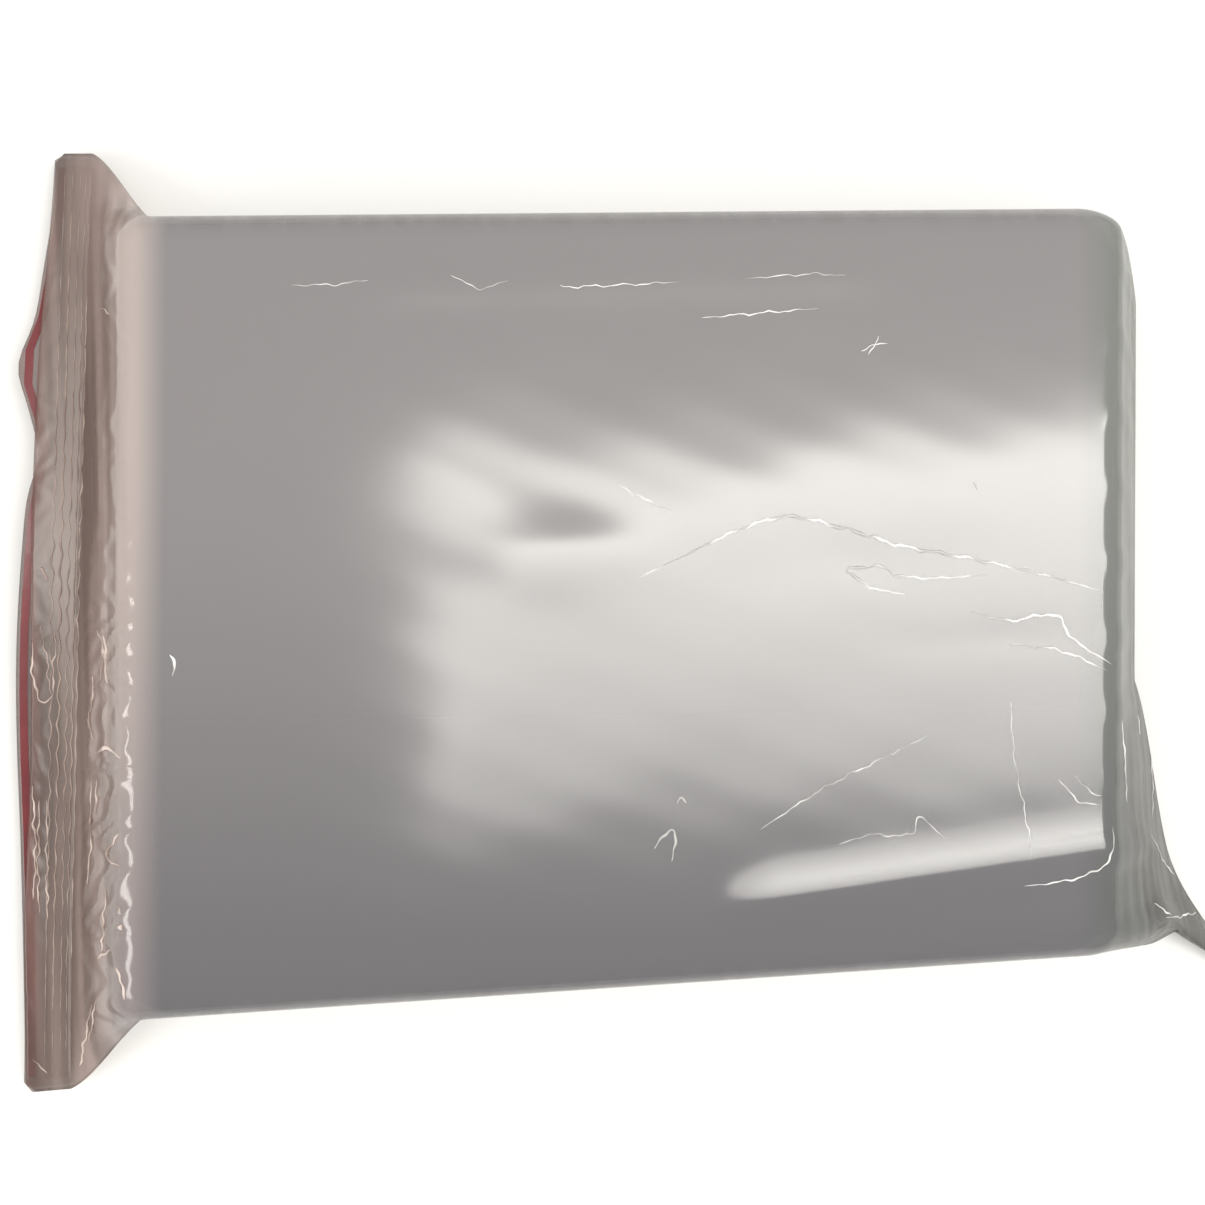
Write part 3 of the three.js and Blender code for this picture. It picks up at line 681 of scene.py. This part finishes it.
FRONT_STEPS = (16, 56, 132, 30)  # along the lips, the flare, the stack and the closed end
REAR_STEPS = (12, 16, 60, 20)
clear_film = clear_film_material()
front_grid = panel_grid(1, film_steps(176, 6), FRONT_STEPS)
front_film = film_shell("front_film", front_grid, 1)
rear_grid = panel_grid(-1, film_steps(60, 6), REAR_STEPS)
rear_film = film_shell("rear_film", rear_grid, -1)
for film in (front_film, rear_film):
    film.data.materials.append(clear_film)
    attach(film, "root")
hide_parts("pouch_film")

# Creases in the film
# Sharp creases where the slack film was pinched in packing and handling. The film stands up there as a
# thin ridge, and each one is coloured paler than the film as a painted highlight, so it shows as a bright
# line.

CREASE_FOOT = 0.25
CREASE_DRIFT = 0.3
CREASE_SINK = 0.02
CREASE_STEPS = 12
CREASE_CLOUD = (7.7, 7.7, 7.7)
# Most places of the creases in these tables are not chosen in millimetres. Points were picked by eye in
# the photograph, another program turned them into places on the film with this camera, and its results
# were rounded to half millimetres.
TOP_CREASES = (  # width, height, and places along and across
    (1.1, 0.45, ((-1.5, 5), (13.5, 11.5), (26.5, 17), (40, 20), (56, 16), (69.5, 11.5),
                (86, 8), (96.5, 5.5), (110.5, 2), (124.5, -2.5))),
    (0.6, 0.3, ((-4.5, 29.5), (2, 25.5), (8.5, 22.5))),
    (0.9, 0.4, ((94, 3), (80, 2.5), (69, 3.5), (64, 6), (55.5, 5.5), (59, 2),
                 (63.5, 0), (70.5, -1.5))),
    (1.0, 0.4, ((88, -6.5), (99, -9.5), (111.5, -8.5), (117, -15.5), (127.5, -22.5))),
    (0.8, 0.35, ((98.5, -16), (112.5, -18), (126, -24))),
    (0.5, 0.25, ((29, -61.5), (45.5, -52), (59, -46), (75.5, -39))),
    (0.5, 0.3, ((50, -66.5), (58.5, -64.5), (69.5, -65), (72, -60.5), (79, -66.5))),
    (1.0, 0.4, ((1, -65), (3.5, -61.5), (6, -60.5), (6.5, -64), (5.5, -68.5))),
    (0.9, 0.3, ((7.5, -53.5), (8.5, -52), (10, -53.5))),
    (0.5, 0.25, ((90, 28), (91.5, 25.5))),
    (0.5, 0.3, ((61, 63), (65, 64.5), (68.5, 65))),
    (0.5, 0.3, ((63, 62), (65, 64.5), (66, 67))),
    (0.4, 0.15, ((-86.5, 82.5), (-76, 82.5), (-66.5, 83.5))),
    (0.4, 0.2, ((-46, 84.5), (-38.5, 81), (-31, 83))),
    (0.4, 0.2, ((-18, 81.5), (-15.5, 81), (3, 81.5), (14, 82))),
    (0.4, 0.15, ((30, 82.5), (48, 83.5), (58, 83))),
    (0.5, 0.2, ((18.5, 72.5), (34, 73.5), (50.5, 74.5))),
    (0.5, 0.3, ((111, -52.5), (116.5, -58.5), (122, -60))),
    (0.5, 0.3, ((115.5, -51.5), (120.5, -57), (123, -57.5))),
    (0.9, 0.3, ((-119.5, -9.5), (-118.5, -12), (-119, -15))),
    (0.4, 0.2, ((98.5, -30.5), (99, -46.5), (102, -65.5), (102, -73.5))),
    (0.7, 0.3, ((100, -80.5), (109.5, -80), (118, -78.5), (123.5, -75.5), (125.5, -71.5),
                (126, -66))),
)
FLARE_CREASES = (
    (1.4, 0.7, ((-140, -2.5), (-138.5, -5.5), (-137.5, -9), (-138.5, -12.5), (-139.5, -16))),
    (0.9, 0.7, ((-142, -14.5), (-142, -19.5), (-143, -24), (-144, -28.5))),
    (1.6, 0.7, ((-138, -4), (-136.5, -8), (-137, -12.5), (-136.5, -16.5))),
    (1.2, 0.7, ((-144.5, -25.5), (-143, -28.5), (-142, -31))),
    (1.4, 0.7, ((-141, -34.5), (-138.5, -33), (-135.5, -33.5), (-132.5, -35))),
    (0.9, 0.7, ((-143.5, -42), (-144, -49.5), (-144, -58.5), (-145, -65), (-145.5, -69))),
    (1.1, 0.7, ((-134, -54), (-136, -56.5), (-138, -59), (-136.5, -61), (-134, -62))),
    (1.0, 0.7, ((-139, -68), (-139, -72.5), (-140, -78), (-140.5, -83.5), (-142, -87))),
    (1.4, 0.7, ((-142.5, -87.5), (-140.5, -85.5), (-137.5, -83.5))),
    (1.0, 0.7, ((-145, -99.5), (-148, -108), (-150.5, -116), (-151.5, -119))),
    (0.8, 0.7, ((-143.5, -98), (-145.5, -104.5), (-148, -111.5))),
    (1.1, 0.6, ((-136, -87.5), (-134.5, -90.5), (-134, -95.5))),
    (0.9, 0.6, ((-141.5, -41.5), (-141.5, -46.5), (-142, -50.5))),
    (1.4, 0.6, ((-134.5, -72.5), (-134, -74))),
    (1.4, 0.6, ((-134, -76.5), (-134, -78))),
    (0.8, 0.6, ((-138, 80.5), (-135.5, 80.5), (-133, 78))),
)
LIP_CREASES = (
    (0.7, 0.4, ((-153.5, -2), (-153.5, -7.5), (-154.5, -14.5), (-154.5, -19.5))),
    (0.8, 0.4, ((-159, -5), (-159.5, -11.5), (-159, -18), (-157, -21.5), (-154.5, -19.5))),
    (0.6, 0.4, ((-157, -1), (-156, -7.5), (-155.5, -14.5), (-155.5, -18.5))),
    (1.3, 0.4, ((-156.5, 14.5), (-155.5, 13), (-154.5, 11))),
    (0.8, 0.4, ((-161, -43.5), (-161, -53), (-161, -63.5), (-162, -74))),
    (0.6, 0.4, ((-159.5, -47.5), (-160, -58), (-160.5, -69), (-160.5, -78))),
    (0.6, 0.4, ((-157.5, -47.5), (-158, -61), (-158.5, -74.5), (-158.5, -79.5))),
    (0.6, 0.4, ((-164, -117), (-162.5, -119), (-160.5, -121))),
)
END_CREASES = (
    (0.8, 0.4, ((152, -50.5), (151.5, -56.5), (151, -63.5), (149.5, -68.5))),
    (0.7, 0.4, ((147.5, -72.5), (151, -77.5), (155.5, -83), (160.5, -87))),
    (0.7, 0.4, ((145, -91), (148, -93), (152, -95.5))),
    (0.9, 0.3, ((131.5, -38), (133, -46.5), (133, -54.5), (134, -61))),
    (0.8, 0.4, ((149, -95.5), (159.5, -97.5), (167, -98.5))),
    (0.7, 0.4, ((144.5, -38.5), (145, -44))),
)


def smooth_path(points, count):
    """Catmull-Rom curve through points, with "count" steps from each to the next."""
    points = np.array(points, dtype=float)
    padded = np.concatenate([2 * points[:1] - points[1:2], points, 2 * points[-1:] - points[-2:-1]])
    before, start, end, after = padded[:-3], padded[1:-2], padded[2:-1], padded[3:]
    t = np.linspace(0, 1, count, endpoint=False)[None, :, None]
    start, end, before, after = (part[:, None, :] for part in (start, end, before, after))
    curve = start + 0.5 * t * (end - before + t * (2 * before - 5 * start + 4 * end - after
                                                   + t * (3 * (start - end) + after - before)))
    return np.concatenate([curve.reshape(-1, 2), points[-1:]])


def on_film(places):
    """Points on the front film at places along and across: each in the plane of the nearest film point."""
    surface = front_grid.reshape(-1, 3)
    slopes = grid_normals(front_grid, 1).reshape(-1, 3)
    facing = slopes[:, 2] > 0.25
    surface, slopes = surface[facing], slopes[facing]
    apart = (places[:, None, 0] - surface[None, :, 0]) ** 2 + (places[:, None, 1] - surface[None, :, 1]) ** 2
    nearest = np.argmin(apart, axis=1)
    near, slope = surface[nearest], slopes[nearest]
    fall = ((places - near[:, :2]) * slope[:, :2]).sum(axis=1) / slope[:, 2]
    return np.concatenate([places, (near[:, 2] - fall)[:, None]], axis=1)


def crease_parts(width, height, places):
    """A half-wave ridge along a wavering path on the film, uneven, with pointed ends and a foot."""
    path = smooth_path(places, CREASE_STEPS)
    tangent = np.gradient(path, axis=0)
    spacing = np.maximum(np.linalg.norm(tangent, axis=1, keepdims=True), 1e-9)
    tangent /= spacing
    side = np.stack([-tangent[:, 1], tangent[:, 0]], axis=1)
    run = np.cumsum(spacing)
    phase = path[0, 0]
    drift = CREASE_DRIFT * (wave(run, 8.3, phase) + 0.6 * wave(run, 3.7, 2 * phase))
    ends = np.sin(np.pi * np.linspace(0, 1, len(path)))
    line = on_film(path + side * (drift * ends)[:, None])
    uneven = 0.72 + 0.28 * wave(run, 5.9, 3 * phase)
    taper = 0.05 + 0.95 * np.sqrt(ends) * uneven
    across = np.linspace(-1, 1, 7)
    offset = width / 2 * across[None, :] * taper[:, None]
    lift = height * np.cos(np.pi / 2 * across)[None, :] * taper[:, None]
    top = np.empty((len(line), 8, 3))
    top[:, :7, :2] = line[:, None, :2] + side[:, None, :] * offset[..., None]
    top[:, :7, 2] = line[:, None, 2] + lift - CREASE_SINK
    top[:, 7] = line
    top[:, 7, 2] -= CREASE_FOOT
    return top


def make_creases(name, creases):
    """All the creases of one part of the film, in one mesh."""
    points, faces, count = [], [], 0
    for width, height, places in creases:
        ridge = crease_parts(width, height, places)
        rows, columns = ridge.shape[:2]
        faces += grid_faces(rows, columns, start=count, closed=True)[:, ::-1].tolist()
        faces.append(list(range(count, count + columns)))
        faces.append(list(range(count + (rows - 1) * columns, count + rows * columns))[::-1])
        points.append(ridge.reshape(-1, 3))
        count += rows * columns
    return set_mesh(name, np.concatenate(points), faces)


def creased_film_material(name, dark, pale):
    """Film at a raised ridge: a blend of a darker and a paler colour, glossy, uneven along its length."""
    material, tree, output = new_material(name)
    coordinates = node(tree, "ShaderNodeTexCoord").outputs["Object"]
    tone = colour_ramp(tree, noise(tree, coordinates, CREASE_CLOUD), ((0.4, dark), (0.6, pale)))
    shader = node(tree, "ShaderNodeBsdfPrincipled", inputs={
        "Base Color": tone, "Roughness": 0.22, "IOR": 1.51,
    })
    tree.links.new(shader.outputs[0], output.inputs["Surface"])
    return material


# The pale colours of the creases are a painted highlight: they stand in for the glints along each crease.
pale_crease_highlight = creased_film_material("crease_film_painted_highlight", "#bfbdba", "#f4f3f0")
warm_crease_highlight = creased_film_material("crease_lip_painted_highlight", "#a08c83", "#dccbc2")
CREASE_GROUPS = (
    ("top_creases", TOP_CREASES, pale_crease_highlight),
    ("flare_creases", FLARE_CREASES, warm_crease_highlight),
    ("lip_creases", LIP_CREASES, warm_crease_highlight),
    ("end_creases", END_CREASES, pale_crease_highlight),
)
for name, creases, finish in CREASE_GROUPS:
    crease_piece = make_creases(name, creases)
    crease_piece.data.materials.append(finish)
    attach(crease_piece, "root")

# Lines of the zip band
# The edges of the strips and the jaws of the channel press through the front film all along the mouth.
# Each stands up as a long fine rib.

ZIP_LINES = (  # how far outward from the zip's middle, width and height of the rib
    (3.3, 0.5, 0.25),
    (1.3, 0.7, 0.35),
    (-0.7, 0.5, 0.25),
    (-2.2, 0.6, 0.3),
    (-3.4, 0.8, 0.3),
)
ZIP_LINE_ENDS = 5.0
line_places = np.linspace(-MOUTH_HALF + ZIP_LINE_ENDS, MOUTH_HALF - ZIP_LINE_ENDS, 9)
zip_line_paths = [
    (width, height, [(ZIP_X + ZIP_SKEW * y - outward, y) for y in line_places])
    for outward, width, height in ZIP_LINES
]
zip_lines = make_creases("zip_lines", zip_line_paths)
zip_lines.data.materials.append(creased_film_material("extruded_polyethylene_rib", "#8d7a72", "#ae9b91"))
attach(zip_lines, "root")

# Press-to-close strips
# A rib on the rear film and a channel on the front film, extruded in the same polyethylene and
# welded to the panels. They press together and close the mouth.

STRIP_CLOUD = (16.7, 16.7, 16.7)
STRIP_TONES = ((0.0, "#8d7a72"), (1.0, "#a7978d"))


def strip_material():
    """Natural polyethylene, extruded: translucent and a little warmer than the film."""
    material, tree, output = new_material("extruded_polyethylene_strip")
    coordinates = node(tree, "ShaderNodeTexCoord").outputs["Object"]
    tone = colour_ramp(tree, noise(tree, coordinates, STRIP_CLOUD), STRIP_TONES)
    shader = node(tree, "ShaderNodeBsdfPrincipled", inputs={
        "Base Color": tone, "Roughness": 0.28, "IOR": 1.51, "Alpha": 0.6,
    })
    tree.links.new(shader.outputs[0], output.inputs["Surface"])
    return material


strip_finish = strip_material()
for name in ("zip_rib", "zip_channel"):
    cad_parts[name].data.materials.clear()
    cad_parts[name].data.materials.append(strip_finish)

# Red line
# A line of red pigmented film on the back lip, which shows which lip to pull.

RED_CLOUD = (11.1, 11.1, 11.1)
RED_TONES = ((0.0, "#5e1a1f"), (1.0, "#86292f"))


def red_line_material():
    """Red pigmented polyethylene: deep red, slightly uneven, glossy."""
    material, tree, output = new_material("red_pigmented_polyethylene")
    coordinates = node(tree, "ShaderNodeTexCoord").outputs["Object"]
    tone = colour_ramp(tree, noise(tree, coordinates, RED_CLOUD, detail=2.0), RED_TONES)
    shader = node(tree, "ShaderNodeBsdfPrincipled", inputs={
        "Base Color": tone, "Roughness": 0.3, "IOR": 1.51,
    })
    tree.links.new(shader.outputs[0], output.inputs["Surface"])
    return material


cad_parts["lip_line"].data.materials.clear()
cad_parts["lip_line"].data.materials.append(red_line_material())

# Floor, lamps and surroundings
# A pale table under a soft lamp. The lamp is long, like a window, and its reflection lies along the
# right half of the pack.

FLOOR_SIZE = 40000.0
WINDOW_PLACE = (525.0, -50.0, 1540.0)
WINDOW_SIZE = (1160.0, 481.0)
WINDOW_WATTS = 19.5
WINDOW_RIM = 0.15  # width of its bright edge, as a share of its height
WINDOW_RIM_GLOW = 0.6
WINDOW_DIM = 0.33  # brightness of its dim corner, as a share of that of its bright corner
WINDOW_SLANT = 0.15  # how much it brightens along, for each unit that it brightens across
SIDE_PLACE = (-1000.0, -350.0, 800.0)
SIDE_SIZE = (300.0, 700.0)
SIDE_WATTS = 4.5
ROOM_LIGHT = 0.8
LAMP_COLOUR = (1.0, 0.98, 0.92)

half = FLOOR_SIZE / 2
FLOOR_DROP = 0.2  # keeps the floor clear of the film that rests on it
floor_points = np.array([[-half, -half, 0], [half, -half, 0], [half, half, 0], [-half, half, 0]])
floor_points[:, 2] = -FLOOR_DROP
floor = set_mesh("pale_table", floor_points, [[0, 1, 2, 3]], smooth=False)

material, tree, output = new_material("pale_table")
shader = node(tree, "ShaderNodeBsdfPrincipled", inputs={"Base Color": linear("#f4f3f1"), "Roughness": 0.7})
tree.links.new(shader.outputs[0], output.inputs["Surface"])
floor.data.materials.append(material)

world = bpy.data.worlds.new("soft_room")
world.use_nodes = True
bpy.context.scene.world = world
world.node_tree.nodes.clear()
background = node(world.node_tree, "ShaderNodeBackground", inputs={
    "Color": (1, 1, 1, 1), "Strength": ROOM_LIGHT,
})
node(world.node_tree, "ShaderNodeOutputWorld", inputs={"Surface": background.outputs[0]})


def area_lamp(name, place, size, watts, aim=(0.0, 0.0, 40.0)):
    """A rectangular lamp at a place in mm, turned to face a point."""
    data = bpy.data.lights.new(name, "AREA")
    data.shape = "RECTANGLE"
    data.size = size[0] * MM
    data.size_y = size[1] * MM
    data.energy = watts
    data.color = LAMP_COLOUR
    lamp = bpy.data.objects.new(name, data)
    place = np.array(place)
    toward = np.array(aim) - place
    toward = toward / np.linalg.norm(toward)
    tilt_y = np.arcsin(-toward[0])
    tilt_x = np.arctan2(toward[1], -toward[2])
    lamp.location = place * MM
    lamp.rotation_euler = (tilt_x, tilt_y, 0)
    bpy.context.collection.objects.link(lamp)
    return lamp


window = area_lamp("window_lamp", WINDOW_PLACE, WINDOW_SIZE, WINDOW_WATTS, aim=(*WINDOW_PLACE[:2], 0.0))
area_lamp("side_lamp", SIDE_PLACE, SIDE_SIZE, SIDE_WATTS)

window.data.use_nodes = True
window_tree = window.data.node_tree
window_tree.nodes.clear()
pane = node(window_tree, "ShaderNodeNewGeometry").outputs["Parametric"]
slanted = node(window_tree, "ShaderNodeVectorMath", {"operation": "DOT_PRODUCT"}, {
    0: pane, 1: (WINDOW_SLANT, 1.0, 0.0),
})
glow = remap(window_tree, slanted.outputs["Value"], (0.0, 1.0 + WINDOW_SLANT), (WINDOW_DIM, 1.0))
pane_place = node(window_tree, "ShaderNodeSeparateXYZ", inputs={0: pane})
from_left = node(window_tree, "ShaderNodeMath", {"operation": "MULTIPLY"}, {
    0: pane_place.outputs["X"], 1: WINDOW_SIZE[0] / WINDOW_SIZE[1],
})
from_top = node(window_tree, "ShaderNodeMath", {"operation": "SUBTRACT"}, {
    0: 1.0, 1: pane_place.outputs["Y"],
})
from_edge = node(window_tree, "ShaderNodeMath", {"operation": "MINIMUM"}, {
    0: from_left.outputs[0], 1: from_top.outputs[0],
})
rim = remap(window_tree, from_edge.outputs[0], (0.0, WINDOW_RIM), (1.0 + WINDOW_RIM_GLOW, 1.0), "SMOOTHSTEP")
brightness = node(window_tree, "ShaderNodeMath", {"operation": "MULTIPLY"}, {
    0: glow, 1: rim,
})
lamp_light = node(window_tree, "ShaderNodeEmission", inputs={"Strength": brightness.outputs[0]})
node(window_tree, "ShaderNodeOutputLight", inputs={"Surface": lamp_light.outputs[0]})

bpy.context.scene.view_settings.view_transform = "Standard"
